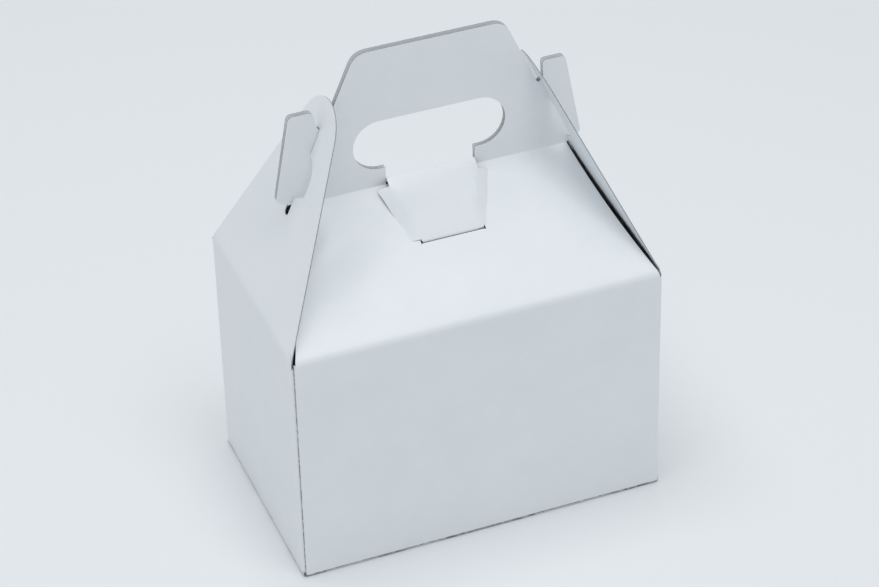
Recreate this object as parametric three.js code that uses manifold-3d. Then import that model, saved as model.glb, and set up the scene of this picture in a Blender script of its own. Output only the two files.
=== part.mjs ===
// A gable box of thin white card, folded from one sheet.
//
// Millimetres, +Z up. The origin is the middle of the underside, the long walls
// face -Y and +Y, and the end walls face -X and +X. Four walls stand on a glued
// bottom. The two long walls go on as sloping roof panels and then as upright
// handles. The two end walls go on as tall flaps, and the hooks at the ends of
// both handles pass out through a slot in each flap. A lock tongue, cut from the
// back handle's hand hole, lies over the front roof panel and dips into a slit.
import * as THREE from 'three';
import { mergeVertices } from 'three/addons/utils/BufferGeometryUtils.js';
import Module from 'manifold-3d';

const wasm = await Module();
wasm.setup();

// The card
const board = 0.5;
const foldRadius = board / 2;
const clearance = 0.3;
const glueSink = 0.05;

// How many straight steps a round stretch gets
const curveSteps = 10;
const foldSides = 12;
const rollSteps = 16;

// The walls, outside sizes
const boxLength = 204;
const boxDepth = 127;
const wallHeight = 139;
const seamInset = 0.9;
const glueFlapWidth = 14;
const glueFlapTaper = 4;

// The bottom
const bottomCorner = 2.5;
const frontFlapDepth = 45;
const frontFlapTaper = 11;
const dustFlapDepth = 58;
const dustFlapTaper = 9;

// The roof panels
const roofRise = 51.5;
const roofCornerInset = 1;
const roofEdgeGap = 4.2;
const roofEdgeHollow = 1.9;

// The handles, measured up from the ridge fold
const handleHeight = 81;
const handleCorner = 7;
const handleGapLow = 1.6;
const handleGapTop = 2.6;
const handleSideGap = 2.4;
const notchHeight = 40.5;
const notchRoom = 1.6;
const notchLead = 2;

// The hooks, measured out from the end flap
const hookHeight = 53;
const hookInner = 7.25;
const hookOuter = 20;
const hookFoot = 3.6;
const hookFootLift = 2.6;
const hookHeel = 7.6;
const hookHeelLift = 5.5;
const hookCorner = 2.6;
const smallCorner = 1;

// The hand hole, and the way for the tongue below it
const handHoleOffset = -1.5;
const handHoleLength = 83.4;
const handHoleHeight = 28.6;
const handHoleLift = 10.5;
const tongueWayHalf = 24.5;

// The end flaps, measured up from the wall's top fold
const flapLean = THREE.MathUtils.degToRad(24);
const flapLength = 118.2;
const flapTipRadius = 22.1;
const slotBelowRidge = 4.6;
const crescentRise = 25;
const crescentDepth = 11.6;
const crescentFoot = 7.6;
const crescentStep = 6.4;
const crescentHeel = 1.5;

// The lock tongue, measured down the front roof panel from the ridge fold
const tongueRoll = 2.4;
const tongueTilt = THREE.MathUtils.degToRad(4);
const shoulderHalf = 31;
const shoulderDrop = 4.5;
const shoulderCorner = 2;
const wingBend = 1.4;
const tongueReach = 34;
const tongueTipHalf = 19.6;
const tuckDepth = 5;
const tuckTaper = 2;
const slitEndRoom = 0.5;
const slitLeg = 2;

// Middle planes of the card, and the places worked out from them
const halfLength = boxLength / 2 - foldRadius;
const halfDepth = boxDepth / 2 - foldRadius;
const layerPitch = board - glueSink;
const wallTop = wallHeight - foldRadius;
const ridgeHeight = wallTop + roofRise;
const outerLayer = board / 2;
const middleLayer = outerLayer + layerPitch;
const innerLayer = middleLayer + layerPitch;
const handleLow = handleGapLow / 2 + board / 2;
const handleTop = handleGapTop / 2 + board / 2;
const seamDepth = halfDepth - layerPitch;
const slotHalf = handleTop + board / 2 + clearance;

const X = new THREE.Vector3(1, 0, 0);
const Y = new THREE.Vector3(0, 1, 0);
const Z = new THREE.Vector3(0, 0, 1);

// How far out the end flap's middle plane is at a height above the floor
function flapAcross(height) {
  return halfLength - (height - wallTop) * Math.tan(flapLean);
}

// How far up the end flap a height above the floor is
function upFlap(height) {
  return (height - wallTop) / Math.cos(flapLean);
}

const ridgeHalf = flapAcross(ridgeHeight) - roofEdgeGap;

// A closed mesh with merged vertices, ready to be joined or cut. Triangles that
// the merging has flattened to a line are left out.
function solid(geometry) {
  const bare = geometry.clone();
  bare.deleteAttribute('normal');
  bare.deleteAttribute('uv');
  const merged = mergeVertices(bare, 1e-5);
  const triVerts = [];
  for (let i = 0; i < merged.index.count; i += 3) {
    const [a, b, c] = merged.index.array.slice(i, i + 3);
    if (a !== b && b !== c && c !== a) triVerts.push(a, b, c);
  }
  return new wasm.Manifold(new wasm.Mesh({
    numProp: 3,
    vertProperties: new Float32Array(merged.attributes.position.array),
    triVerts: new Uint32Array(triVerts),
  }));
}

// An outline through corners [x, y, cut], where cut is how far from the corner its
// rounding starts, or 0 for a sharp corner
function outline(corners, path = new THREE.Shape()) {
  const at = (i) => new THREE.Vector2(...corners.at(i % corners.length));
  corners.forEach(([, , cut = 0], i) => {
    const here = at(i);
    const start = at(i - 1).sub(here).setLength(cut).add(here);
    const end = at(i + 1).sub(here).setLength(cut).add(here);
    if (i === 0) path.moveTo(start.x, start.y);
    else path.lineTo(start.x, start.y);
    if (cut > 0) path.quadraticCurveTo(here.x, here.y, end.x, end.y);
  });
  path.closePath();
  return path;
}

// The same corners on both sides of a centre line, as one outline
function mirrored(half, centre = 0, path = new THREE.Shape()) {
  const right = half.map(([x, y, cut]) => [centre + x, y, cut]);
  const left = half.map(([x, y, cut]) => [centre - x, y, cut]).reverse();
  return outline([...right, ...left], path);
}

// A flat piece of card with its outline drawn in the plane of two directions
function panel(shape, origin, across, up, thickness = board) {
  const geometry = new THREE.ExtrudeGeometry(shape, {
    depth: thickness,
    bevelEnabled: false,
    curveSegments: curveSteps,
  });
  geometry.translate(0, 0, -thickness / 2);
  const out = new THREE.Vector3().crossVectors(across, up);
  geometry.applyMatrix4(new THREE.Matrix4().makeBasis(across, up, out).setPosition(origin));
  return solid(geometry);
}

// The rounded bead of card along a fold
function fold(from, to) {
  const along = new THREE.Vector3().subVectors(to, from);
  const geometry = new THREE.CylinderGeometry(foldRadius, foldRadius, along.length(), foldSides);
  const turn = new THREE.Quaternion().setFromUnitVectors(Y, along.clone().normalize());
  geometry.applyQuaternion(turn);
  geometry.translate(...from.clone().add(to).multiplyScalar(0.5));
  return solid(geometry);
}

function join(pieces) {
  return pieces.reduce((all, piece) => all.add(piece));
}

function point(x, y, z) {
  return new THREE.Vector3(x, y, z);
}

// One long wall: side is -1 for the front and 1 for the back. The front wall ends
// short of the left corner, where it is glued over the seam flap.
function longWall(side) {
  const left = side < 0 ? -boxLength / 2 + seamInset : -halfLength;
  const low = side < 0 ? middleLayer : outerLayer;
  const shape = outline([[left, low], [halfLength, low], [halfLength, wallTop], [left, wallTop]]);
  return panel(shape, point(0, side * halfDepth, 0), X, Z);
}

// One end wall: side is -1 for the left and 1 for the right
function endWall(side) {
  const front = side < 0 ? -seamDepth : -halfDepth;
  const shape = outline([
    [front, innerLayer], [halfDepth, innerLayer], [halfDepth, wallTop], [front, wallTop],
  ]);
  return panel(shape, point(side * halfLength, 0, 0), Y, Z);
}

// The upright folds at the corners, and the seam flap inside the front wall
function corners() {
  const upright = (x, y) => fold(point(x, y, innerLayer), point(x, y, wallTop));
  const seamFlap = outline([
    [-halfLength, innerLayer + glueFlapTaper / 2],
    [-halfLength + glueFlapWidth, innerLayer + glueFlapTaper],
    [-halfLength + glueFlapWidth, wallTop - glueFlapTaper],
    [-halfLength, wallTop - glueFlapTaper / 2],
  ]);
  return join([
    upright(halfLength, -halfDepth),
    upright(halfLength, halfDepth),
    upright(-halfLength, halfDepth),
    upright(-halfLength, -seamDepth),
    panel(seamFlap, point(0, -seamDepth, 0), X, Z),
  ]);
}

// The bottom: end flaps inside, then the front wall's flap, then one full panel
// that comes from the back wall and is glued under them
function bottom() {
  const full = outline([
    [-halfLength, halfDepth],
    [-halfLength, -halfDepth, bottomCorner],
    [halfLength, -halfDepth, bottomCorner],
    [halfLength, halfDepth],
  ]);
  const front = mirrored([
    [halfLength - board, -halfDepth],
    [halfLength - frontFlapTaper, frontFlapDepth - halfDepth, bottomCorner],
  ]);
  const pieces = [
    panel(full, point(0, 0, outerLayer), X, Y),
    panel(front, point(0, 0, middleLayer), X, Y),
    fold(point(-halfLength, halfDepth, outerLayer), point(halfLength, halfDepth, outerLayer)),
    fold(point(-halfLength + seamInset, -halfDepth, middleLayer), point(halfLength, -halfDepth, middleLayer)),
  ];
  for (const side of [-1, 1]) {
    const frontEnd = side < 0 ? seamDepth : halfDepth;
    const shape = outline([
      [side * halfLength, -frontEnd],
      [side * (halfLength - dustFlapDepth), dustFlapTaper - halfDepth, bottomCorner],
      [side * (halfLength - dustFlapDepth), halfDepth - dustFlapTaper, bottomCorner],
      [side * halfLength, halfDepth],
    ]);
    pieces.push(panel(shape, point(0, 0, innerLayer), X, Y));
    pieces.push(fold(
      point(side * halfLength, -frontEnd, innerLayer),
      point(side * halfLength, halfDepth, innerLayer),
    ));
  }
  return join(pieces);
}

// The direction up one roof panel, and its length along the slope
const roofRun = halfDepth - handleLow;
const roofSlope = Math.hypot(roofRun, roofRise);

function upRoof(side) {
  return point(0, -side * roofRun, roofRise).divideScalar(roofSlope);
}

// A place on the front roof panel: across, down from the ridge fold, and lifted
// off the middle of the card
function onRoof(across, down, lift) {
  const up = upRoof(-1);
  const out = new THREE.Vector3().crossVectors(X, up);
  const place = point(0, -handleLow, ridgeHeight).addScaledVector(X, across);
  return place.addScaledVector(up, -down).addScaledVector(out, lift);
}

// The tuck swings about the tongue's root, so the slit leaves room for its arc
const rootHeight = ridgeHeight + 2 * foldRadius + clearance;
const slitUpper = tongueReach - board / 2 - clearance;
const slitLower = tongueReach + board / 2 + 2 * clearance;

function slit() {
  const half = tongueTipHalf + slitEndRoom;
  return mirrored([
    [half - board, roofSlope - slitLower],
    [half - board, roofSlope - slitLower - slitLeg],
    [half, roofSlope - slitLower - slitLeg],
    [half, roofSlope - slitUpper],
  ], handHoleOffset, new THREE.Path());
}

// A sloping roof panel. Its side edges are quadratic curves, whose control point lies
// twice as far in as the edge is hollow.
function roof(side) {
  const bottomHalf = halfLength - roofCornerInset;
  const middle = (bottomHalf + ridgeHalf) / 2 - 2 * roofEdgeHollow;
  const shape = new THREE.Shape();
  shape.moveTo(-bottomHalf, 0);
  shape.lineTo(bottomHalf, 0);
  shape.quadraticCurveTo(middle, roofSlope / 2, ridgeHalf, roofSlope);
  shape.lineTo(-ridgeHalf, roofSlope);
  shape.quadraticCurveTo(-middle, roofSlope / 2, -bottomHalf, 0);
  if (side < 0) shape.holes.push(slit());
  const low = side * halfDepth;
  const high = side * handleLow;
  return join([
    panel(shape, point(0, low, wallTop), X, upRoof(side)),
    fold(point(-bottomHalf, low, wallTop), point(bottomHalf, low, wallTop)),
    fold(point(-ridgeHalf, high, ridgeHeight), point(ridgeHalf, high, ridgeHeight)),
  ]);
}

// The stadium that the fingers go through, with the way for the tongue below it
function handHole() {
  const radius = handHoleHeight / 2;
  const straight = handHoleLength / 2 - radius;
  const middle = handHoleLift + radius;
  const hole = new THREE.Shape();
  hole.moveTo(handHoleOffset - tongueWayHalf, 0);
  hole.lineTo(handHoleOffset - tongueWayHalf, handHoleLift);
  hole.lineTo(handHoleOffset - straight, handHoleLift);
  hole.absarc(handHoleOffset - straight, middle, radius, -Math.PI / 2, Math.PI / 2, true);
  hole.absarc(handHoleOffset + straight, middle, radius, Math.PI / 2, -Math.PI / 2, true);
  hole.lineTo(handHoleOffset + tongueWayHalf, handHoleLift);
  hole.lineTo(handHoleOffset + tongueWayHalf, 0);
  hole.closePath();
  return hole;
}

// One end of a handle: way is 1 for the right and -1 for the left. Its sloping side
// runs just inside the end flap, and a notch above the hook clears the flap's tip. The
// hooks are centred on the hand hole, so the left one reaches out a little further.
function handleEnd(way) {
  const across = (up, out) => way * (flapAcross(ridgeHeight + up) + out);
  const hook = (up, out) => across(up, out + way * handHoleOffset);
  const notchTop = notchHeight + notchLead;
  return [
    [way * ridgeHalf, 0],
    [hook(hookFootLift, hookFoot), hookFootLift, smallCorner],
    [hook(hookHeelLift, hookHeel), hookHeelLift, smallCorner],
    [hook(hookHeight, hookOuter), hookHeight, hookCorner],
    [hook(hookHeight, hookInner), hookHeight, hookCorner],
    [across(notchTop, notchRoom), notchTop, smallCorner],
    [across(notchHeight, -handleSideGap), notchHeight, smallCorner],
    [across(handleHeight, -handleSideGap), handleHeight, handleCorner],
  ];
}

function handle(side) {
  const shape = outline([...handleEnd(1), ...handleEnd(-1).reverse()]);
  const lean = point(0, side * (handleTop - handleLow), handleHeight).normalize();
  const ridge = point(0, side * handleLow, ridgeHeight);
  return panel(shape, ridge, X, lean).subtract(panel(handHole(), ridge, X, lean, 2 * board));
}

// The slot that lets the hooks out, with a crescent cut towards the front
function slot() {
  const low = upFlap(ridgeHeight - slotBelowRidge);
  const high = upFlap(ridgeHeight + notchHeight + notchLead);
  const middle = low + crescentRise;
  const start = Math.acos(-slotHalf / crescentDepth);
  const hole = new THREE.Path();
  hole.moveTo(slotHalf, low + slotHalf);
  hole.lineTo(slotHalf, high - slotHalf);
  hole.absarc(0, high - slotHalf, slotHalf, 0, Math.PI, false);
  hole.absarc(0, middle, crescentDepth, start, Math.PI, false);
  hole.lineTo(-crescentDepth, middle - crescentFoot);
  hole.lineTo(-crescentDepth + crescentHeel, middle - crescentFoot - crescentHeel);
  hole.lineTo(-slotHalf, middle - crescentFoot - crescentStep);
  hole.absarc(0, low + slotHalf, slotHalf, Math.PI, 2 * Math.PI, false);
  hole.closePath();
  return hole;
}

// A tall flap that narrows along tangents to its round tip
function endFlap(side) {
  const base = side < 0 ? seamDepth : halfDepth;
  const centre = flapLength - flapTipRadius;
  const touch = (half) => {
    const reach = Math.hypot(half, centre);
    return Math.acos(flapTipRadius / reach) - Math.atan2(centre, half);
  };
  const shape = new THREE.Shape();
  shape.moveTo(-base, 0);
  shape.lineTo(halfDepth, 0);
  shape.absarc(0, centre, flapTipRadius, touch(halfDepth), Math.PI - touch(base), false);
  shape.closePath();
  shape.holes.push(slot());
  const up = point(-side * Math.sin(flapLean), 0, Math.cos(flapLean));
  const x = side * halfLength;
  return join([
    panel(shape, point(x, 0, wallTop), Y, up),
    fold(point(x, -base, wallTop), point(x, halfDepth, wallTop)),
  ]);
}

function carton() {
  const pieces = [corners(), bottom()];
  for (const side of [-1, 1]) {
    pieces.push(longWall(side), endWall(side), roof(side), handle(side), endFlap(side));
  }
  return join(pieces);
}

// The tongue's neck rolls forward over the ridge: a strip whose section is the
// roll's arc, from its root on the back handle to where the flat face starts
const rollEnd = Math.PI / 2 + Math.atan2(roofRise, roofRun) + tongueTilt;
const neckHalf = tongueWayHalf - clearance;

function neck() {
  const section = new THREE.Shape();
  section.absarc(-tongueRoll, 0, tongueRoll + board / 2, 0, rollEnd, false);
  section.absarc(-tongueRoll, 0, tongueRoll - board / 2, rollEnd, 0, true);
  section.closePath();
  const geometry = new THREE.ExtrudeGeometry(section, {
    depth: 2 * neckHalf,
    bevelEnabled: false,
    curveSegments: rollSteps,
  });
  const place = new THREE.Matrix4().makeBasis(Y, Z, X);
  place.setPosition(handHoleOffset - neckHalf, handleLow, rootHeight);
  geometry.applyMatrix4(place);
  return solid(geometry);
}

// A flat piece of card through three or more places on one plane
function plate(places) {
  const [first, second] = places;
  const across = new THREE.Vector3().subVectors(second, first).normalize();
  const last = new THREE.Vector3().subVectors(places.at(-1), first);
  const out = new THREE.Vector3().crossVectors(across, last).normalize();
  const up = new THREE.Vector3().crossVectors(out, across);
  const flat = places.map((place) => {
    const from = new THREE.Vector3().subVectors(place, first);
    return [from.dot(across), from.dot(up)];
  });
  return panel(outline(flat), first, across, up);
}

// Where the roll ends, and how high the face lies over the roof from there down
const faceStart = point(
  0,
  handleLow - tongueRoll + tongueRoll * Math.cos(rollEnd),
  rootHeight + tongueRoll * Math.sin(rollEnd),
).sub(onRoof(0, 0, 0));
const faceDown = -faceStart.dot(upRoof(-1));
const faceLift = faceStart.dot(new THREE.Vector3().crossVectors(X, upRoof(-1)));

function onFace(across, down) {
  return onRoof(handHoleOffset + across, down, faceLift - (down - faceDown) * Math.tan(tongueTilt));
}

function lockTongue() {
  const root = (x) => point(handHoleOffset + x, handleLow, rootHeight);
  const deep = (x) => onRoof(handHoleOffset + x, tongueReach, -tuckDepth);
  const tuckHalf = tongueTipHalf - tuckTaper;
  const pieces = [
    fold(root(-neckHalf), root(neckHalf)),
    neck(),
    plate([
      onFace(-neckHalf, faceDown), onFace(-neckHalf, shoulderDrop), onFace(-tongueTipHalf, tongueReach),
      onFace(tongueTipHalf, tongueReach), onFace(neckHalf, shoulderDrop), onFace(neckHalf, faceDown),
    ]),
    fold(onFace(-tongueTipHalf, tongueReach), onFace(tongueTipHalf, tongueReach)),
    plate([
      onFace(-tongueTipHalf, tongueReach), onFace(tongueTipHalf, tongueReach), deep(tuckHalf), deep(-tuckHalf),
    ]),
  ];
  const out = new THREE.Vector3().crossVectors(X, upRoof(-1));
  for (const side of [-1, 1]) {
    const high = onFace(side * neckHalf, shoulderDrop);
    const low = onFace(side * tongueTipHalf, tongueReach);
    const rim = (x, down) => onFace(side * x, down).addScaledVector(out, -wingBend);
    pieces.push(plate([
      high, rim(shoulderHalf - shoulderCorner, shoulderDrop), rim(shoulderHalf, shoulderDrop + shoulderCorner), low,
    ]));
    pieces.push(fold(high, low));
  }
  return join(pieces);
}

function mesh(name, body, material) {
  const { vertProperties, triVerts } = body.getMesh();
  const geometry = new THREE.BufferGeometry();
  geometry.setAttribute('position', new THREE.BufferAttribute(vertProperties, 3));
  geometry.setIndex(new THREE.BufferAttribute(triVerts, 1));
  geometry.computeVertexNormals();
  const result = new THREE.Mesh(geometry, material);
  result.name = name;
  return result;
}

const whiteCard = new THREE.MeshStandardMaterial({ color: 0xe4e8ec, roughness: 0.5, metalness: 0 });

const gableBox = new THREE.Group();
gableBox.add(mesh('carton', carton(), whiteCard));
gableBox.add(mesh('lock_tongue', lockTongue(), whiteCard.clone()));

export default gableBox;
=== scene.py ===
# %% [markdown]
# # A gable box folded from one sheet of white card
#
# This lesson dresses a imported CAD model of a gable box. The real box is one sheet of
# carton board, 0.5 mm thick: four walls, two sloping roof panels that go on as
# handles, and two tall end flaps that the handles' hooks pass through. So the lesson
# is about thin card: soft folds, grey cut edges, and large pale faces that are never
# quite flat.

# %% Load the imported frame
import math

import bmesh
import bpy
from mathutils import Matrix, Vector


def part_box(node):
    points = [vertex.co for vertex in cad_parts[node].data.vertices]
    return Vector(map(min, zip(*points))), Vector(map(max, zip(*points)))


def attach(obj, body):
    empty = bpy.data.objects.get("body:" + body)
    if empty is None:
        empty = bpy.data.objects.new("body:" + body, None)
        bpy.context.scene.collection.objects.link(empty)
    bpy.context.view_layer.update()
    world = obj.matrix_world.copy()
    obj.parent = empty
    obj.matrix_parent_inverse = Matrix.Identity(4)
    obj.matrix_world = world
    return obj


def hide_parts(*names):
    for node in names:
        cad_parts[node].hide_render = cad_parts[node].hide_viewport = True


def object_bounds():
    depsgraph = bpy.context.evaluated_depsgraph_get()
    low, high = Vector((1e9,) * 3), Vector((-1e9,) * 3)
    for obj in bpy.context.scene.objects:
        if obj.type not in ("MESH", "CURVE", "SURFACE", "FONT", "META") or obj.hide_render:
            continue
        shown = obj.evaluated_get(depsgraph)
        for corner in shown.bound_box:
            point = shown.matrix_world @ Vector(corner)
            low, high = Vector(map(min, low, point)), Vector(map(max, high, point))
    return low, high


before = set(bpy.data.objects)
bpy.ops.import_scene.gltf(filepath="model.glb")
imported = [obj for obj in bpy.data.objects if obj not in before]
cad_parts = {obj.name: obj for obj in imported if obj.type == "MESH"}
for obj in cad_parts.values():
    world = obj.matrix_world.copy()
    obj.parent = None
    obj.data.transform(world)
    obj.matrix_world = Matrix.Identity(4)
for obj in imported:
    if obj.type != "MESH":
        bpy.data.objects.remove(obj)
cad_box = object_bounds()
print("CAD box, metres:", cad_box)

# %% [markdown]
# ## The camera
#
# A camera can be placed by eye, but a box has straight edges and right angles, so its
# corners in the photograph fix the camera. The place and the two directions here come
# from such a fit: the camera stands to the left of the front wall, looks down at it
# from 1.7 metres away with a long lens, and is rolled by a degree and a half.

# %% Place the camera
CAMERA_PLACE = Vector((-0.47537, -1.25967, 1.07443))
CAMERA_RIGHT = Vector((0.92934, -0.36861, -0.02135)).normalized()
CAMERA_LOOK = Vector((0.28849, 0.76101, -0.58107)).normalized()
CAMERA_LENS = 127.98
SENSOR_WIDTH = 36

camera_data = bpy.data.cameras.new("photo_camera")
camera_data.lens = CAMERA_LENS
camera_data.sensor_width = SENSOR_WIDTH
camera = bpy.data.objects.new("photo_camera", camera_data)
bpy.context.scene.collection.objects.link(camera)
camera_up = CAMERA_RIGHT.cross(CAMERA_LOOK).normalized()
turn = Matrix((CAMERA_LOOK.cross(camera_up), camera_up, -CAMERA_LOOK)).transposed()
camera.matrix_world = Matrix.Translation(CAMERA_PLACE) @ turn.to_4x4()
bpy.context.scene.camera = camera
bpy.context.scene.view_settings.view_transform = "Standard"
print("camera is", round(CAMERA_PLACE.length, 3), "m from the box's foot")

# %% [markdown]
# ## Helpers for materials
#
# Every finish here is a small tree of nodes on the Principled shader. It could be put
# together in the editor, one node at a time. In a script a few helpers keep it short:
# they add a node, lay a noise on Object coordinates, which stay put on the piece from
# every side, colour the shader by that noise, and turn it into bump.

# %% Material helpers
def add_node(material, kind, inputs=None):
    """A new node with its unlinked inputs filled in"""
    node = material.node_tree.nodes.new(kind)
    for name, value in (inputs or {}).items():
        node.inputs[name].default_value = value
    return node


def link(material, source, target):
    """Joins an output socket to an input socket"""
    material.node_tree.links.new(source, target)


def new_material(name, roughness):
    """A material with a Principled shader, and its shader node"""
    material = bpy.data.materials.new(name)
    material.use_nodes = True
    shader = material.node_tree.nodes["Principled BSDF"]
    shader.inputs["Roughness"].default_value = roughness
    return material, shader


def object_noise(material, scale, detail, roughness=0.5, squeeze=(1, 1, 1)):
    """Noise on Object coordinates: a squeeze below 1 draws it out along an axis"""
    place = add_node(material, "ShaderNodeTexCoord")
    mapping = add_node(material, "ShaderNodeMapping", {"Scale": squeeze})
    noise = add_node(
        material, "ShaderNodeTexNoise",
        {"Scale": scale, "Detail": detail, "Roughness": roughness},
    )
    link(material, place.outputs["Object"], mapping.inputs["Vector"])
    link(material, mapping.outputs["Vector"], noise.inputs["Vector"])
    return noise.outputs["Fac"]


def colour_by(material, shader, factor, low, high, start, end):
    """Colours the shader by a factor, from low at its start to high at its end"""
    ramp = add_node(material, "ShaderNodeValToRGB")
    ramp.color_ramp.elements[0].position = start
    ramp.color_ramp.elements[0].color = (*low, 1)
    ramp.color_ramp.elements[1].position = end
    ramp.color_ramp.elements[1].color = (*high, 1)
    link(material, factor, ramp.inputs["Fac"])
    link(material, ramp.outputs["Color"], shader.inputs["Base Color"])


def add_bump(material, shader, height, strength, distance, below=None):
    """Bump from a height, on top of another bump where one is given"""
    bump = add_node(
        material, "ShaderNodeBump", {"Strength": strength, "Distance": distance},
    )
    link(material, height, bump.inputs["Height"])
    if below is not None:
        link(material, below, bump.inputs["Normal"])
    link(material, bump.outputs["Normal"], shader.inputs["Normal"])
    return bump.outputs["Normal"]


print("material helpers ready")

# %% [markdown]
# ## White coated card
#
# The outside of the card has a thin clay coat: almost white, a little cool, and dull
# with a faint sheen. One flat colour would do for it from afar. It isn't the same
# everywhere, though: the coat varies by a few parts in a hundred, the sheet waves by a
# part of a millimetre over some centimetres, and the fibres below show as a very fine
# grain. So the finish has one noise for each.

# %% Make the white card
CARD_WHITE = (0.835, 0.862, 0.885)
CARD_WHITE_THIN = (0.815, 0.845, 0.868)
CARD_GLOSS = 0.5

white_card, card_shader = new_material("white_card", roughness=0.34)
card_shader.inputs["Specular IOR Level"].default_value = CARD_GLOSS
coat = object_noise(white_card, scale=38.0, detail=4.0, roughness=0.6)
colour_by(white_card, card_shader, coat, CARD_WHITE_THIN, CARD_WHITE, start=0.35, end=0.65)
wave = object_noise(white_card, scale=16.0, detail=1.0)
grain = object_noise(white_card, scale=1500.0, detail=3.0)
wave_bump = add_bump(white_card, card_shader, wave, strength=0.25, distance=0.0008)
add_bump(white_card, card_shader, grain, strength=0.12, distance=0.00004, below=wave_bump)
print("white card ready: coat, wave and grain")

# %% [markdown]
# ## The grey core
#
# Where the die has cut the sheet, its core of grey pulp shows. It is much darker than
# the coat, matt, and streaked by fibres. The streaks could be drawn as lines, but at
# half a millimetre a noise drawn out in height reads the same.

# %% Make the grey core
CORE_DARK = (0.20, 0.215, 0.235)
CORE_LIGHT = (0.40, 0.42, 0.44)
FIBRE_SQUEEZE = (1, 1, 0.6)

grey_core, core_shader = new_material("grey_core", roughness=0.9)
fibres = object_noise(
    grey_core, scale=900.0, detail=4.0, roughness=0.7, squeeze=FIBRE_SQUEEZE,
)
colour_by(grey_core, core_shader, fibres, CORE_DARK, CORE_LIGHT, start=0.3, end=0.7)
add_bump(grey_core, core_shader, fibres, strength=0.5, distance=0.00008)
print("grey core ready")

# %% [markdown]
# ## Painted shade on the rough edges
#
# Along the glued seam and the fold under the front wall runs a thin dark line: shade in
# the narrow groove and gap there, over a roughly cut edge. Such a mark can be painted by
# hand or found from the edges' sharpness. Here it has known places, so its faces get a
# finish of their own that paints that shade: a dark and a paler grey in flecks, by a
# fine noise with steep steps.

# %% Make the painted shade on the rough edges
# Painted shade: these two greys stand in for the shadow in the seam's groove and the gap
# under the front wall, in flecks for the rough cut edge.
ROUGH_SHADE_DARK = (0.17, 0.18, 0.20)
ROUGH_SHADE_LIGHT = (0.52, 0.54, 0.56)

shaded_rough_edge, shaded_rough_shader = new_material("shaded_rough_edge", roughness=0.85)
flecks = object_noise(shaded_rough_edge, scale=420.0, detail=3.0, roughness=0.65)
colour_by(shaded_rough_edge, shaded_rough_shader, flecks, ROUGH_SHADE_DARK, ROUGH_SHADE_LIGHT, start=0.42, end=0.62)
add_bump(shaded_rough_edge, shaded_rough_shader, flecks, strength=0.6, distance=0.0001)

CARD_FINISHES = [white_card, grey_core, shaded_rough_edge]
ROUGH_SHADE_SLOT = CARD_FINISHES.index(shaded_rough_edge)
print("the card's finishes:", [finish.name for finish in CARD_FINISHES])

# %% [markdown]
# ## The sizes
#
# All sizes are in millimetres, as on a die maker's drawing, and a piece is scaled to
# metres when it is finished. The length, the depth and the full height are read from
# the frame, and the heights of the walls and the ridge are the solid's own, so the
# looks fit it. The middle of the card is what folds, so the planes below are half a
# board inside the outer faces. Glued layers lie a little less than a board apart.

# %% Name the sizes
MM = 0.001
BOARD = 0.5
WALL_TOP = 138.75
RIDGE = 190.25
GLUE_PITCH = 0.45
SEAM_GAP = 0.9
CORNER_RELIEF = 1.0

carton_high = Vector(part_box("carton")[1]) / MM
HALF_LENGTH = carton_high.x - BOARD / 2
HALF_DEPTH = carton_high.y - BOARD / 2
HANDLE_TOP = carton_high.z
ROOF_RISE = RIDGE - WALL_TOP
OUTER_LAYER = BOARD / 2
MIDDLE_LAYER = OUTER_LAYER + GLUE_PITCH
INNER_LAYER = MIDDLE_LAYER + GLUE_PITCH
SEAM_DEPTH = HALF_DEPTH - GLUE_PITCH
SEAM_LEFT = -HALF_LENGTH - BOARD / 2 + SEAM_GAP

X = Vector((1, 0, 0))
Y = Vector((0, 1, 0))
Z = Vector((0, 0, 1))
print("half length", HALF_LENGTH, "half depth", HALF_DEPTH, "top", HANDLE_TOP)

# %% [markdown]
# ## Outlines
#
# A die cuts the sheet along straight lines and arcs. The outline could be a curve with
# handles, but a list of points is easier to check against a drawing. Three helpers give
# such points: an arc, a polygon with each corner rounded from a given distance away,
# and an outline as it looks from the panel's other side.

# %% Outline helpers
def arc(cx, cy, radius, start, end, steps):
    """Points along a round stretch, with its angles in degrees"""
    points = []
    for i in range(steps + 1):
        angle = math.radians(start + (end - start) * i / steps)
        points.append((cx + radius * math.cos(angle), cy + radius * math.sin(angle)))
    return points


def rounded(corners, steps=6):
    """Points through corners (x, y, cut), each rounded from cut away"""
    points = []
    for i, (x, y, cut) in enumerate(corners):
        here = Vector((x, y))
        if not cut:
            points.append((x, y))
            continue
        before = Vector(corners[i - 1][:2])
        after = Vector(corners[(i + 1) % len(corners)][:2])
        start = here + (before - here).normalized() * cut
        end = here + (after - here).normalized() * cut
        for k in range(steps + 1):
            t = k / steps
            place = start * (1 - t) ** 2 + here * 2 * t * (1 - t) + end * t ** 2
            points.append(tuple(place))
    return points


def turned(outline):
    """The outline as it looks from the panel's other side"""
    return [(-x, y) for x, y in reversed(outline)]


print("an arc of 3 steps:", arc(0, 0, 1, 0, 90, 3))

# %% [markdown]
# ## Panels of card
#
# Each panel starts as its outline, filled flat and cut into a grid by planes at whole
# multiples of 5 mm. Neighbours use the same planes, so their points meet along the
# fold between them, and the grid lets a panel bow a little. A bow is a function of the
# place on the panel that gives how far the card stands out there.

# %% Panel helpers
GRID = 5.0
CUT_REACH = 0.02
FLAT_ANGLE = 0.01


def cut_plane(bm, place, normal):
    """Cuts every face that a plane crosses, and keeps both sides"""
    bmesh.ops.bisect_plane(
        bm, geom=[*bm.verts, *bm.edges, *bm.faces], dist=CUT_REACH,
        plane_co=place, plane_no=normal,
    )


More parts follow.
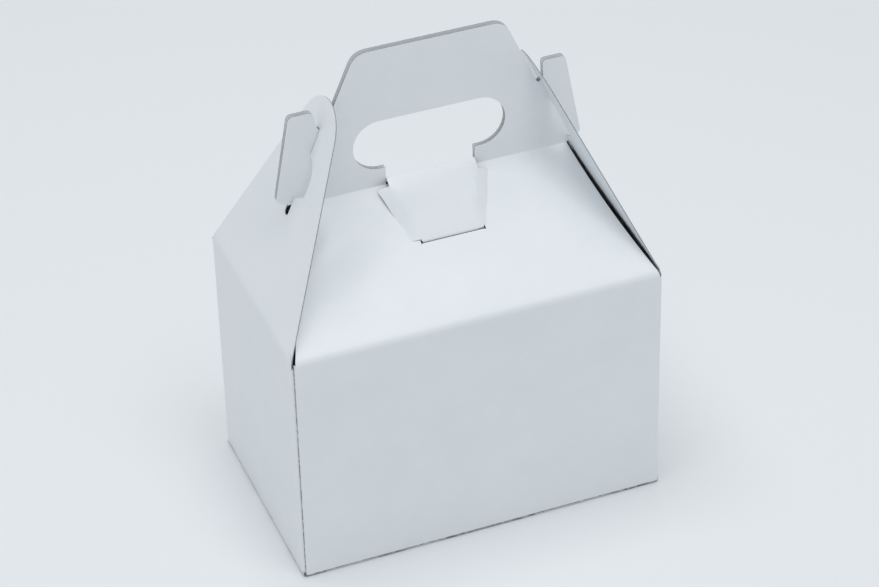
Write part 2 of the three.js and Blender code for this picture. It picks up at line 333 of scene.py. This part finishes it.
def flat_panel(outline, holes, cuts):
    """An outline filled flat around its holes, and cut into a grid"""
    flat = bmesh.new()
    edges = []
    for loop in (outline, *holes):
        verts = [flat.verts.new((x, y, 0)) for x, y in loop]
        edges += [flat.edges.new(pair) for pair in zip(verts, verts[1:] + verts[:1])]
    bmesh.ops.triangle_fill(flat, edges=edges, use_beauty=True)
    bmesh.ops.dissolve_limit(flat, angle_limit=FLAT_ANGLE, verts=[], edges=flat.edges[:])
    for axis in (X, Y):
        places = [vert.co.dot(axis) for vert in flat.verts]
        for k in range(math.ceil(min(places) / GRID), math.floor(max(places) / GRID) + 1):
            cut_plane(flat, axis * GRID * k, axis)
    for start, end in cuts:
        along = Vector((*end, 0)) - Vector((*start, 0))
        cut_plane(flat, (*start, 0), along.cross(Z))
    bmesh.ops.recalc_face_normals(flat, faces=flat.faces)
    if sum(face.normal.z * face.calc_area() for face in flat.faces) < 0:
        bmesh.ops.reverse_faces(flat, faces=flat.faces)
    return flat


def add_panel(card, outline, origin, across, up, holes=(), bow=None, cuts=()):
    """Bows a panel, puts it in its place and adds it to the card"""
    flat = flat_panel(outline, holes, cuts)
    if bow:
        for vert in flat.verts:
            vert.co.z = bow(vert.co.x, vert.co.y)
    out = across.cross(up)
    place = Matrix((across, up, out)).transposed().to_4x4()
    place.translation = origin
    bmesh.ops.transform(flat, matrix=place, verts=flat.verts)
    mesh = bpy.data.meshes.new("panel")
    flat.to_mesh(mesh)
    flat.free()
    card.from_mesh(mesh)
    bpy.data.meshes.remove(mesh)


card = bmesh.new()
print("panels are cut every", GRID, "mm")

# %% [markdown]
# ## The long walls
#
# The front wall stops just short of the left corner, where it is glued over a seam flap
# that comes round from the left wall. That leaves the thin dark line down the front left
# corner, a narrow groove in shade, so the faces there, and along the bottom fold, get a
# painted shade over their rough cut edge. A wide wall of thin card is never flat. Noise
# could shake it, but a real one keeps its folds straight and gives way in the middle, so
# each wall gets one smooth hollow.

# %% Build the long walls
WALL_HOLLOW = 0.5
SEAM_NICK = 2.2
# Widths of the painted shade strips beside the seam and along the bottom fold
SEAM_SHADE_WIDTH = 0.4
FOLD_SHADE_HEIGHT = 0.8
LEFT_RELIEF = 1.8

roof_foot = HALF_LENGTH - CORNER_RELIEF
left_foot = HALF_LENGTH - LEFT_RELIEF
flap_foot = HALF_DEPTH - CORNER_RELIEF


def wall_bow(half, low, high, hollow):
    """A wall that is hollow in its middle and straight at its edges"""
    def bow(x, z):
        across = math.cos(math.pi / 2 * min(1, abs(x) / half))
        up = math.sin(math.pi * (z - low) / (high - low))
        return -hollow * across * up
    return bow


front_wall = [
    (SEAM_LEFT, SEAM_NICK), (SEAM_LEFT + SEAM_NICK, MIDDLE_LAYER),
    (roof_foot, MIDDLE_LAYER), (HALF_LENGTH, MIDDLE_LAYER),
    (HALF_LENGTH, INNER_LAYER), (HALF_LENGTH, WALL_TOP), (roof_foot, WALL_TOP),
    (-left_foot, WALL_TOP), (SEAM_LEFT, WALL_TOP),
]
back_wall = [
    (-HALF_LENGTH, OUTER_LAYER), (-roof_foot, OUTER_LAYER), (roof_foot, OUTER_LAYER),
    (HALF_LENGTH, OUTER_LAYER), (HALF_LENGTH, INNER_LAYER), (HALF_LENGTH, WALL_TOP),
    (roof_foot, WALL_TOP), (-roof_foot, WALL_TOP), (-HALF_LENGTH, WALL_TOP),
    (-HALF_LENGTH, INNER_LAYER),
]
shade_strip_right = SEAM_LEFT + SEAM_SHADE_WIDTH
shade_strip_top = MIDDLE_LAYER + FOLD_SHADE_HEIGHT
shade_strip_lines = [
    ((shade_strip_right, 0), (shade_strip_right, WALL_TOP)),
    ((-HALF_LENGTH, shade_strip_top), (HALF_LENGTH, shade_strip_top)),
]
long_bow = wall_bow(HALF_LENGTH, OUTER_LAYER, WALL_TOP, WALL_HOLLOW)

front_place = Vector((0, -HALF_DEPTH, 0))
add_panel(card, front_wall, front_place, X, Z, bow=long_bow, cuts=shade_strip_lines)
# Painted shade: faces beside the seam and along the foot of the front wall take the dark
# flecked finish, for the shadow in the groove and the gap there.
for face in card.faces:
    middle = face.calc_center_median()
    if middle.x < shade_strip_right or middle.z < shade_strip_top:
        face.material_index = ROUGH_SHADE_SLOT
add_panel(card, turned(back_wall), Vector((0, HALF_DEPTH, 0)), -X, Z, bow=long_bow)
print("long walls:", len(card.faces), "faces")

# %% [markdown]
# ## The end walls and the seam flap
#
# The end walls close the sides, and are hollow too, by half as much. The left one
# reaches forward only to the seam flap, which goes on from it behind the front wall,
# one glued layer further in. A mirrored copy of the right wall would look inwards, so
# the left one has its outline turned instead.

# %% Build the end walls and the seam flap
SEAM_FLAP = 14.0
SEAM_TAPER = 4.0

end_bow = wall_bow(HALF_DEPTH, OUTER_LAYER, WALL_TOP, WALL_HOLLOW / 2)
for side in (-1, 1):
    front_edge = -SEAM_DEPTH if side < 0 else -HALF_DEPTH
    end_wall = [
        (front_edge, INNER_LAYER), (-flap_foot, INNER_LAYER), (flap_foot, INNER_LAYER),
        (HALF_DEPTH, INNER_LAYER), (HALF_DEPTH, WALL_TOP), (flap_foot, WALL_TOP),
        (-flap_foot, WALL_TOP), (front_edge, WALL_TOP),
    ]
    foot = Vector((side * HALF_LENGTH, 0, 0))
    if side > 0:
        add_panel(card, end_wall, foot, Y, Z, bow=end_bow)
    else:
        add_panel(card, turned(end_wall), foot, -Y, Z, bow=end_bow)
seam_flap = [
    (-HALF_LENGTH, INNER_LAYER + SEAM_TAPER / 2),
    (-HALF_LENGTH + SEAM_FLAP, INNER_LAYER + SEAM_TAPER),
    (-HALF_LENGTH + SEAM_FLAP, WALL_TOP - SEAM_TAPER),
    (-HALF_LENGTH, WALL_TOP - SEAM_TAPER / 2),
]
add_panel(card, seam_flap, Vector((0, -SEAM_DEPTH, 0)), X, Z)
print("all the walls:", len(card.faces), "faces")

# %% [markdown]
# ## The bottom
#
# Four flaps close the bottom and are glued. One plate would look the same from above,
# but the layers show at the front: the end walls' flaps lie inside, the front wall's
# flap below them, and one full panel from the back wall lies outermost. Its cut front
# edge is the thin grey line under the front wall, and the dark shade along that line
# is painted on the front wall's foot.

# %% Build the bottom
FRONT_FLAP_DEPTH = 45.0
FRONT_FLAP_INSET = 11.0
DUST_FLAP_DEPTH = 58.0
DUST_FLAP_TAPER = 9.0
BOTTOM_CORNER = 2.5

outer_bottom = rounded([
    (-roof_foot, HALF_DEPTH, 0), (-HALF_LENGTH, -HALF_DEPTH, BOTTOM_CORNER),
    (HALF_LENGTH, -HALF_DEPTH, BOTTOM_CORNER), (roof_foot, HALF_DEPTH, 0),
])
add_panel(card, outer_bottom, Vector((0, 0, OUTER_LAYER)), X, Y)
front_flap = rounded([
    (-roof_foot, -HALF_DEPTH, 0), (roof_foot, -HALF_DEPTH, 0),
    (HALF_LENGTH - FRONT_FLAP_INSET, FRONT_FLAP_DEPTH - HALF_DEPTH, BOTTOM_CORNER),
    (FRONT_FLAP_INSET - HALF_LENGTH, FRONT_FLAP_DEPTH - HALF_DEPTH, BOTTOM_CORNER),
])
add_panel(card, front_flap, Vector((0, 0, MIDDLE_LAYER)), X, Y)
for side in (-1, 1):
    inner = side * (HALF_LENGTH - DUST_FLAP_DEPTH)
    dust_flap = rounded([
        (side * HALF_LENGTH, -flap_foot, 0),
        (inner, DUST_FLAP_TAPER - HALF_DEPTH, BOTTOM_CORNER),
        (inner, HALF_DEPTH - DUST_FLAP_TAPER, BOTTOM_CORNER),
        (side * HALF_LENGTH, flap_foot, 0),
    ])
    add_panel(card, dust_flap, Vector((0, 0, INNER_LAYER)), X, Y)
print("with the bottom:", len(card.faces), "faces")

# %% [markdown]
# ## The shape of the roof
#
# The long walls go on as roof panels that lean in to the ridge. Their side edges are
# cut a little hollow and stop short of the end flaps. Only the front panel's left edge
# differs: it starts further from the corner and is nearly straight. So one function
# draws the outline of both panels, with that edge as its two inputs.

# %% Draw the roof panels
HANDLE_LOW = 1.05
RIDGE_HALF = 74.46
ROOF_HOLLOW = 1.9
LEFT_HOLLOW = 0.3
EDGE_STEPS = 12
HOLE_CENTRE = -1.5
WAY_HALF = 24.5

ROOF_RUN = HALF_DEPTH - HANDLE_LOW
ROOF_SLOPE = math.hypot(ROOF_RUN, ROOF_RISE)


def roof_up(side):
    """The direction up a roof panel: side is -1 for the front"""
    return Vector((0, -side * ROOF_RUN, ROOF_RISE)).normalized()


def roof_edge(sign, foot, hollow):
    """Points up a roof panel's side edge, a parabola that is hollow in the middle"""
    points = []
    for i in range(1, EDGE_STEPS):
        t = i / EDGE_STEPS
        straight = foot + (RIDGE_HALF - foot) * t
        points.append((sign * (straight - 4 * hollow * t * (1 - t)), ROOF_SLOPE * t))
    return points


def roof_outline(left, left_hollow):
    """A roof panel's outline, with its foot and the hollow of its edge on the left"""
    return (
        [(-left, 0), (roof_foot, 0)] + roof_edge(1, roof_foot, ROOF_HOLLOW)
        + [(RIDGE_HALF, ROOF_SLOPE), (HOLE_CENTRE + WAY_HALF, ROOF_SLOPE)]
        + [(HOLE_CENTRE - WAY_HALF, ROOF_SLOPE), (-RIDGE_HALF, ROOF_SLOPE)]
        + roof_edge(-1, left, left_hollow)[::-1]
    )


print("a roof panel is", round(ROOF_SLOPE, 2), "mm from its foot to the ridge")

# %% [markdown]
# ## The roof's slit and buckle
#
# The front panel has a slit for the lock tongue, with a short leg at each end. To its
# left a soft buckle runs up across the panel, where the card has been pushed out from
# inside. A buckle can be sculpted by hand. Here it is one long smooth hill of a known
# height, direction and size, which dies away towards the folds.

# %% Build the roof
SLIT_CENTRE = 0.1
SLIT_HALF = 17.8
SLIT_UPPER = 33.45
SLIT_LOWER = 35.1
SLIT_LEG = 0.4
BUCKLE_HEIGHT = 3.6
BUCKLE_PLACE = (-62.0, 53.0)
BUCKLE_SLOPE = 0.8
BUCKLE_SIZE = (26.0, 12.5)
BUCKLE_FADE = 0.5


def clamp(value, low, high):
    """A value held between two limits"""
    return max(low, min(high, value))


def roof_bow(x, s):
    """The buckle in the front panel, which fades out towards the folds"""
    along = Vector((1, BUCKLE_SLOPE)).normalized()
    place = Vector((x, s)) - Vector(BUCKLE_PLACE)
    u = place.dot(along) / BUCKLE_SIZE[0]
    v = place.dot(along.orthogonal()) / BUCKLE_SIZE[1]
    fade = math.sin(math.pi * clamp(s / ROOF_SLOPE, 0, 1)) ** BUCKLE_FADE
    return BUCKLE_HEIGHT * math.exp(-u * u - v * v) * fade


leg_low = SLIT_LOWER + SLIT_LEG
slit_right = [
    (SLIT_HALF - BOARD, SLIT_LOWER), (SLIT_HALF - BOARD, leg_low),
    (SLIT_HALF, leg_low), (SLIT_HALF, SLIT_UPPER),
]
slit_sides = slit_right + turned(slit_right)
slit = [(SLIT_CENTRE + x, ROOF_SLOPE - down) for x, down in slit_sides]
front_foot = Vector((0, -HALF_DEPTH, WALL_TOP))
front_roof = roof_outline(left_foot, LEFT_HOLLOW)
add_panel(card, front_roof, front_foot, X, roof_up(-1), holes=[slit], bow=roof_bow)
back_foot = Vector((0, HALF_DEPTH, WALL_TOP))
back_roof = turned(roof_outline(roof_foot, ROOF_HOLLOW))
add_panel(card, back_roof, back_foot, -X, roof_up(1))
print("with the roof:", len(card.faces), "faces")

# %% [markdown]
# ## The ends of the handles
#
# A hook at each end of a handle stands outside the end flap, and the flap's slot closes
# over the notch inside it. The hook's corners could be placed from the middle of the
# handle, but what counts is how far they reach past the leaning flap. So each is given
# by its height above the ridge and its distance out from the flap at that height. The
# hooks are centred on the hand hole, which lies a little left of the middle.

# %% Draw the hooks
HANDLE_HEIGHT = HANDLE_TOP - RIDGE
FLAP_LEAN = math.radians(24)
HOOK_FOOT = 3.6
HOOK_FOOT_LIFT = 2.6
HOOK_HEEL = 7.6
HOOK_HEEL_LIFT = 5.5
HOOK_OUTER = 20.0
HOOK_INNER = 7.25
HOOK_TOP = 53.0
HOOK_CORNER = 2.6
NOTCH_OUT = 1.6
NOTCH_OUT_LIFT = 42.5
SIDE_IN = 2.4
NOTCH_IN_LIFT = 40.5
SMALL_CORNER = 1.0
TOP_CORNER = 7.0


def flap_across(height):
    """How far out the end flap is at a height above the ridge"""
    return HALF_LENGTH - (RIDGE + height - WALL_TOP) * math.tan(FLAP_LEAN)


def hook_and_side(way):
    """Corners of one end of the handle: way is 1 for the right, -1 for the left"""
    shift = way * HOLE_CENTRE
    corners = [
        (HOOK_FOOT_LIFT, HOOK_FOOT + shift, SMALL_CORNER),
        (HOOK_HEEL_LIFT, HOOK_HEEL + shift, SMALL_CORNER),
        (HOOK_TOP, HOOK_OUTER + shift, HOOK_CORNER),
        (HOOK_TOP, HOOK_INNER + shift, HOOK_CORNER),
        (NOTCH_OUT_LIFT, NOTCH_OUT, SMALL_CORNER),
        (NOTCH_IN_LIFT, -SIDE_IN, SMALL_CORNER),
        (HANDLE_HEIGHT, -SIDE_IN, TOP_CORNER),
    ]
    return [(way * (flap_across(up) + out), up, cut) for up, out, cut in corners]


print("the flap is", round(flap_across(0), 2), "mm out at the ridge")

# %% [markdown]
# ## The handles
#
# Above the ridge both roof panels stand up as handles, side by side, a little further
# apart at the top than at the ridge. Each has the hand hole, open at its bottom as a
# way for the tongue. A hole can be cut with a boolean, but because this one is open, it
# is simply part of the outline.

# %% Build the handles
HANDLE_HIGH = 1.55
HOLE_LENGTH = 83.4
HOLE_HEIGHT = 28.6
HOLE_LIFT = 10.5
HOLE_STEPS = 16

hole_radius = HOLE_HEIGHT / 2
hole_straight = HOLE_LENGTH / 2 - hole_radius
hole_middle = HOLE_LIFT + hole_radius
hole_left = HOLE_CENTRE - hole_straight
hole_right = HOLE_CENTRE + hole_straight
way_left = HOLE_CENTRE - WAY_HALF
way_right = HOLE_CENTRE + WAY_HALF
handle_outline = (
    [(RIDGE_HALF, 0)]
    + rounded(hook_and_side(1) + hook_and_side(-1)[::-1])
    + [(-RIDGE_HALF, 0), (way_left, 0), (way_left, HOLE_LIFT)]
    + arc(hole_left, hole_middle, hole_radius, -90, -270, HOLE_STEPS)
    + arc(hole_right, hole_middle, hole_radius, 90, -90, HOLE_STEPS)
    + [(way_right, HOLE_LIFT), (way_right, 0)]
)
for side in (-1, 1):
    lean = Vector((0, side * (HANDLE_HIGH - HANDLE_LOW), HANDLE_HEIGHT)).normalized()
    ridge = Vector((0, side * HANDLE_LOW, RIDGE))
    if side < 0:
        add_panel(card, handle_outline, ridge, X, lean)
    else:
        add_panel(card, turned(handle_outline), ridge, -X, lean)
print("with the handles:", len(card.faces), "faces")

# %% [markdown]
# ## The outline of an end flap
#
# A tall flap has straight sides that run as tangents into a round tip. The angle where
# they touch it could be tried by eye, but two angles of one triangle give it exactly.
# The slot takes both hooks, and has a crescent cut towards the front, which gives the
# hooks room as they pass.

# %% Draw the end flap
FLAP_LENGTH = 118.2
FLAP_TIP = 22.1
TIP_STEPS = 28
SLOT_HALF = 2.1
SLOT_BELOW = 4.6
SLOT_STEPS = 8
CRESCENT = 11.6
CRESCENT_RISE = 25.0
CRESCENT_FOOT = 7.6
CRESCENT_HEEL = 1.5
CRESCENT_STEP = 6.4
CRESCENT_STEPS = 10


def up_flap(height):
    """How far up the end flap a height above the ridge is"""
    return (RIDGE + height - WALL_TOP) / math.cos(FLAP_LEAN)


tip_centre = FLAP_LENGTH - FLAP_TIP
touch = math.degrees(
    math.acos(FLAP_TIP / math.hypot(flap_foot, tip_centre))
    - math.atan2(tip_centre, flap_foot)
)
flap_outline = (
    [(-flap_foot, 0), (flap_foot, 0)]
    + arc(0, tip_centre, FLAP_TIP, touch, 180 - touch, TIP_STEPS)
)
slot_low = up_flap(-SLOT_BELOW)
slot_high = up_flap(NOTCH_OUT_LIFT)
crescent_middle = slot_low + CRESCENT_RISE
crescent_low = crescent_middle - CRESCENT_FOOT
crescent_start = math.degrees(math.acos(-SLOT_HALF / CRESCENT))
slot_outline = (
    arc(0, slot_low + SLOT_HALF, SLOT_HALF, 180, 360, SLOT_STEPS)
    + arc(0, slot_high - SLOT_HALF, SLOT_HALF, 0, 180, SLOT_STEPS)
    + arc(0, crescent_middle, CRESCENT, crescent_start, 180, CRESCENT_STEPS)
    + [
        (-CRESCENT, crescent_low),
        (-CRESCENT + CRESCENT_HEEL, crescent_low - CRESCENT_HEEL),
        (-SLOT_HALF, crescent_low - CRESCENT_STEP),
    ]
)
print("the sides touch the tip at", round(touch, 2), "degrees")

# %% [markdown]
# ## The end flaps
#
# Each flap leans in from its end wall. The hooks pull its middle inwards, and more so
# on the right, which narrows the gap beside the roof there. A cloth simulation could
# find that bend, but card this stiff takes a plain one: a wave up the flap, deepest low
# down, and a parabola across it, so that its two edges stay where the solid has them.

# %% Build the end flaps
FLAP_BOW = {-1: 0.8, 1: 2.6}
BOW_LENGTH = 98.0
BOW_SKEW = 0.75
BOW_TAPER = 0.75


def flap_bow(side):
    """How far the flap is pulled in, between its foot and its tip"""
    def bow(y, s):
        half = flap_foot * (1 - BOW_TAPER * s / FLAP_LENGTH)
        across = max(0, 1 - (y / half) ** 2)
        rise = min(1, s / BOW_LENGTH) ** BOW_SKEW
        return -FLAP_BOW[side] * across * math.sin(math.pi * rise)
    return bow


for side in (-1, 1):
    up = Vector((-side * math.sin(FLAP_LEAN), 0, math.cos(FLAP_LEAN)))
    foot = Vector((side * HALF_LENGTH, 0, WALL_TOP))
    if side > 0:
        add_panel(card, flap_outline, foot, Y, up, [slot_outline], flap_bow(1))
    else:
        slot_turned = turned(slot_outline)
        add_panel(card, turned(flap_outline), foot, -Y, up, [slot_turned], flap_bow(-1))
print("with the end flaps:", len(card.faces), "faces")

# %% [markdown]
# ## Join the panels and soften the folds
#
# The panels meet point for point along their folds, so merging doubles joins them into
# one sheet. A fold in card is a small bend, not a crease of no width. Bevelling the
# fold's edges gives it that bend, wide where the card bends a little, as at the roof's
# foot, and narrow where it is pressed hard, as at the ridge. A Bevel modifier would
# take one width for all of them, so the operator runs once for each kind of fold.

# %% Join and fold
MERGE_REACH = 0.03
LEAST_FOLD = math.radians(8)
NEAR = 0.05

bmesh.ops.remove_doubles(card, verts=card.verts, dist=MERGE_REACH)


def near(value, target):
    """Whether two sizes are the same, but for rounding"""
    return abs(value - target) < NEAR


def soften(name, test, width, segments=4):
    """Bevels the fold edges whose two ends pass a test"""
    folds = [
        edge for edge in card.edges
        if len(edge.link_faces) == 2
        and edge.calc_face_angle() > LEAST_FOLD
        and all(test(vert.co) for vert in edge.verts)
    ]
    bmesh.ops.bevel(
        card, geom=folds, offset=width, offset_type="OFFSET", affect="EDGES",
        segments=segments, profile=0.5, material=-1, clamp_overlap=False,
    )
    print(name, "fold:", len(folds), "edges")


soften(
    "roof foot", lambda p: near(p.z, WALL_TOP) and near(abs(p.y), HALF_DEPTH),
    width=2.2, segments=6,
)
soften(
    "flap foot", lambda p: near(p.z, WALL_TOP) and near(abs(p.x), HALF_LENGTH),
    width=2.4, segments=5,
)
soften("ridge", lambda p: near(p.z, RIDGE), width=0.5)
soften(
    "upright", lambda p: near(abs(p.x), HALF_LENGTH) and abs(p.y) > SEAM_DEPTH - NEAR,
    width=0.8,
)
soften("bottom", lambda p: p.z < INNER_LAYER + NEAR, width=0.35)

# %% [markdown]
# ## Give the card its thickness
#
# Solidify grows the middle surface by a quarter of a millimetre to each side, and can
# give the rim a material of its own. That is just what cut card looks like: white
# faces and a grey rim. The result is applied, and only its sharp edges are left
# unsmoothed. What a fold's corner pushes past the solid's box, by a part of a
# millimetre, is brought back to it, so the box stands flat on the table.

# %% Thicken the card
SHARP_ANGLE = math.radians(35)
RIM_STEP = CARD_FINISHES.index(grey_core)


def make_card(name, bm):
    """A piece of card from its middle surface, with grey cut edges, in metres"""
    bmesh.ops.scale(bm, vec=(MM, MM, MM), verts=bm.verts)
    mesh = bpy.data.meshes.new(name)
    bm.to_mesh(mesh)
    bm.free()
    for finish in CARD_FINISHES:
        mesh.materials.append(finish)
    raw = bpy.data.objects.new(name + "_raw", mesh)
    bpy.context.scene.collection.objects.link(raw)
    thick = raw.modifiers.new("board", "SOLIDIFY")
    thick.thickness = BOARD * MM
    thick.offset = 0
    thick.use_even_offset = True
    thick.material_offset_rim = RIM_STEP
    depsgraph = bpy.context.evaluated_depsgraph_get()
    done = bpy.data.meshes.new_from_object(raw.evaluated_get(depsgraph))
    done.name = name
    bpy.data.objects.remove(raw)
    for vert in done.vertices:
        vert.co = Vector(map(clamp, vert.co, cad_box[0], cad_box[1]))
    done.shade_smooth()
    done.set_sharp_from_angle(angle=SHARP_ANGLE)
    piece = bpy.data.objects.new(name, done)
    bpy.context.scene.collection.objects.link(piece)
    print(name, "has", len(done.polygons), "faces")
    return piece


folded_carton = make_card("folded_carton", card)
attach(folded_carton, "box")
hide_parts("carton")

# %% [markdown]
# ## The lock tongue, as it is cut
#
# The tongue is cut from the back handle and stays joined to it at the ridge. It rolls
# forward through the hand hole, lies over the front roof panel and tucks its end into
# the slit. It could be modelled in its bent place, but its outline is easier to draw
# flat, as it was cut: a narrow neck, wide shoulders, two sides that are pressed down as
# wings, and the end that is tucked in.

# %% Draw the tongue
ROLL_RADIUS = 2.4
ROLL_EXTRA = math.radians(4)
FACE_LENGTH = 33.6
TUCK_RADIUS = 1.2
TUCK_TURN = math.radians(80)
TUCK_LENGTH = 4.0
NECK_HALF = 24.4
NECK_CORNER = 0.6
SHOULDER_HALF = 31.0
SHOULDER_DROP = 3.6
SHOULDER_CORNER = 3.0
WING_LEFT = -20.9
WING_RIGHT = 19.7
WING_SHORT = 0.6
WING_CORNER = 0.4
CREASE_TOP = 23.3
CREASE_LOW = 14.7
TUCK_ROOM = 0.4
TUCK_STEP = 0.4
TUCK_TAPER = 2
TUCK_CORNER = 1.5

ROLL_TURN = math.pi / 2 + math.atan2(ROOF_RISE, ROOF_RUN) + ROLL_EXTRA
roll_length = ROLL_RADIUS * ROLL_TURN
tuck_start = roll_length + FACE_LENGTH
tuck_curve = TUCK_RADIUS * TUCK_TURN
tongue_length = tuck_start + tuck_curve + TUCK_LENGTH
shoulder = roll_length + SHOULDER_DROP
wing_end = tuck_start - WING_SHORT
tuck_top = tuck_start - TUCK_STEP
tuck_left = SLIT_CENTRE - HOLE_CENTRE - SLIT_HALF + TUCK_ROOM
tuck_right = SLIT_CENTRE - HOLE_CENTRE + SLIT_HALF - TUCK_ROOM
tongue_outline = rounded([
    (NECK_HALF, 0, 0),
    (NECK_HALF, shoulder, NECK_CORNER),
    (SHOULDER_HALF, shoulder, SHOULDER_CORNER),
    (WING_RIGHT, wing_end, WING_CORNER),
    (tuck_right, tuck_top, 0),
    (tuck_right - TUCK_TAPER, tongue_length, TUCK_CORNER),
    (tuck_left + TUCK_TAPER, tongue_length, TUCK_CORNER),
    (tuck_left, tuck_top, 0),
    (WING_LEFT, wing_end, WING_CORNER),
    (-SHOULDER_HALF, shoulder, SHOULDER_CORNER),
    (-NECK_HALF, shoulder, NECK_CORNER),
    (-NECK_HALF, 0, 0),
])
creases = [
    ((way * CREASE_TOP, shoulder), (way * CREASE_LOW, tuck_start)) for way in (-1, 1)
]
print("the flat tongue is", round(tongue_length, 2), "mm long")

# %% [markdown]
# ## The tongue's bent path
#
# Bent card keeps its length. Bones or a Simple Deform modifier could bend the tongue,
# but a path that is measured along the card keeps that length true: it rolls over from
# the back handle, runs straight down the roof, and curls into the slit. A second
# function presses the wings, and the neck's edges above them, down from their creases.

# %% Bend helpers
ROOT_HEIGHT = 191.05
NECK_RIM = 2.4
NECK_RIM_TAPER = 1.3
NECK_STEEP = 0.92
NECK_EASE = 0.5
NECK_FADE = 3
WING_STEEP = 0.42
WING_RUN_IN = 4
WING_RUN_OUT = 0.5
WING_PAST_END = 1.15


def tongue_path(d):
    """The place and the heading, in the upright YZ plane, at a length along the tongue"""
    angle = min(d, roll_length) / ROLL_RADIUS
    centre = Vector((HANDLE_LOW - ROLL_RADIUS, ROOT_HEIGHT))
    place = centre + ROLL_RADIUS * Vector((math.cos(angle), math.sin(angle)))
    heading = Vector((-math.sin(angle), math.cos(angle)))
    if d > roll_length:
        place = place + heading * (min(d, tuck_start) - roll_length)
    if d > tuck_start:
        inward = Vector((-heading.y, heading.x))
        centre = place + inward * TUCK_RADIUS
        bend = Matrix.Rotation(min(d - tuck_start, tuck_curve) / TUCK_RADIUS, 2)
        place = centre + bend @ (place - centre)
        heading = bend @ heading
    if d > tuck_start + tuck_curve:
        place = place + heading * (d - tuck_start - tuck_curve)
    return place, heading


def wing_drop(x, d):
    """How far a rim hangs below the face: nothing inside the crease"""
    if d < shoulder:
        w = d / shoulder
        neck_crease = NECK_HALF - NECK_RIM + NECK_RIM_TAPER * w
        steep = (NECK_STEEP - NECK_EASE * w) * clamp(NECK_FADE * w - 1, 0, 1)
        return max(0, abs(x) - neck_crease) * steep
    t = (d - shoulder) / (tuck_start - shoulder)
    crease = CREASE_TOP + (CREASE_LOW - CREASE_TOP) * t
    run_in = clamp((d - roll_length) / WING_RUN_IN, 0, 1)
    run_out = clamp((WING_PAST_END - t) / WING_RUN_OUT, 0, 1)
    return max(0, abs(x) - crease) * WING_STEEP * run_in * run_out


print("the tuck starts at", [round(value, 2) for value in tongue_path(tuck_start)[0]])

# %% [markdown]
# ## Bend the tongue
#
# The flat tongue needs a row of points wherever its path bends, so planes cut it there
# first. A finer grid all over would do as well, but would make many faces where the
# card is flat. Then each point goes to its place on the path. The face bows up a little
# on its way, and lies lower on the right, as in the photograph.

# %% Build the tongue
ROLL_ROWS = 10
TUCK_ROWS = 4
FACE_BOW = 1.3
FACE_BOW_SKEW = 0.8
HORIZON_TILT = 1.2
TILT_END = 1.4


def tongue_place(x, d):
    """Where a point of the flat tongue comes to lie"""
    place, heading = tongue_path(d)
    out = Vector((heading.y, -heading.x))
    along = clamp(d / tuck_start, 0, 1)
    lift = FACE_BOW * math.sin(math.pi * along ** FACE_BOW_SKEW)
    tilt_here = math.sin(math.pi * min(1, along * TILT_END)) ** 2
    tilt = -HORIZON_TILT * x / NECK_HALF * tilt_here
    place = place + out * (lift - wing_drop(x, d)) + Vector((0, tilt))
    return HOLE_CENTRE + x, place.x, place.y


tongue = bmesh.new()
add_panel(tongue, tongue_outline, Vector((0, 0, 0)), X, Y, cuts=creases)
rows = [round(i * roll_length / ROLL_ROWS, 4) for i in range(1, ROLL_ROWS)]
rows += [tuck_start + i * tuck_curve / TUCK_ROWS for i in range(TUCK_ROWS + 1)]
for row in rows:
    cut_plane(tongue, (0, row, 0), Y)
for vert in tongue.verts:
    vert.co = tongue_place(vert.co.x, vert.co.y)
bmesh.ops.recalc_face_normals(tongue, faces=tongue.faces)
lock_tongue = make_card("folded_tongue", tongue)
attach(lock_tongue, "tongue")
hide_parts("lock_tongue")

# %% [markdown]
# ## The floor
#
# The box stands on a plain pale surface. A studio sweep that curves up behind it could
# be modelled, but every view looks down on the box, so one large flat square fills it.
# Its colour is a shade under white, and the box's soft shadow shows on it.

# %% Lay the floor
FLOOR_HALF = 3.0
FLOOR_COLOUR = (0.83, 0.845, 0.855)

floor_mesh = bpy.data.meshes.new("floor")
floor_bm = bmesh.new()
bmesh.ops.create_grid(floor_bm, x_segments=1, y_segments=1, size=FLOOR_HALF)
floor_bm.to_mesh(floor_mesh)
floor_bm.free()
floor = bpy.data.objects.new("floor", floor_mesh)
bpy.context.scene.collection.objects.link(floor)
floor_paint, floor_shader = new_material("floor_paint", roughness=0.8)
floor_shader.inputs["Base Color"].default_value = (*FLOOR_COLOUR, 1)
floor_mesh.materials.append(floor_paint)
print("floor:", 2 * FLOOR_HALF, "m square")

# %% [markdown]
# ## The light
#
# The light is that of a bright cloudy sky. One lamp alone would leave the far sides
# dark, so much of it is an even, slightly blue glow from all round. A large soft lamp
# overhead, a little to the left, makes the roof brighter than the walls, and a smaller
# one in front and above, a little to the right, lays its sheen on the front roof panel.
# So the faces differ only a little, and the shadow is faint.

# %% Set the light
SKY_COLOUR = (0.935, 0.985, 1.03, 1)
SKY_STRENGTH = 0.565
LAMP_AIM = (0, 0, 0.1)

world = bpy.data.worlds.new("studio")
bpy.context.scene.world = world
world.use_nodes = True
sky = world.node_tree.nodes["Background"]
sky.inputs["Color"].default_value = SKY_COLOUR
sky.inputs["Strength"].default_value = SKY_STRENGTH


def soft_lamp(name, place, size, power):
    """A large square lamp that looks at the box"""
    data = bpy.data.lights.new(name, "AREA")
    data.size = size
    data.energy = power
    lamp = bpy.data.objects.new(name, data)
    look = (Vector(LAMP_AIM) - Vector(place)).to_track_quat("-Z", "Y")
    lamp.matrix_world = Matrix.Translation(place) @ look.to_matrix().to_4x4()
    bpy.context.scene.collection.objects.link(lamp)
    print(name, "gives", power, "watts")


soft_lamp("sky_window", place=(-0.28, 0.05, 2.3), size=1.4, power=17.5)
soft_lamp("front_window", place=(0.3, -0.8, 2.1), size=0.9, power=5.5)

# %% [markdown]
# ## The size
#
# The dressed box must be the size of the solid. That could be judged by eye, but here
# each piece of card is held inside the solid's box as it is made, and the script ends.

# %% Finish
print("the script ends")
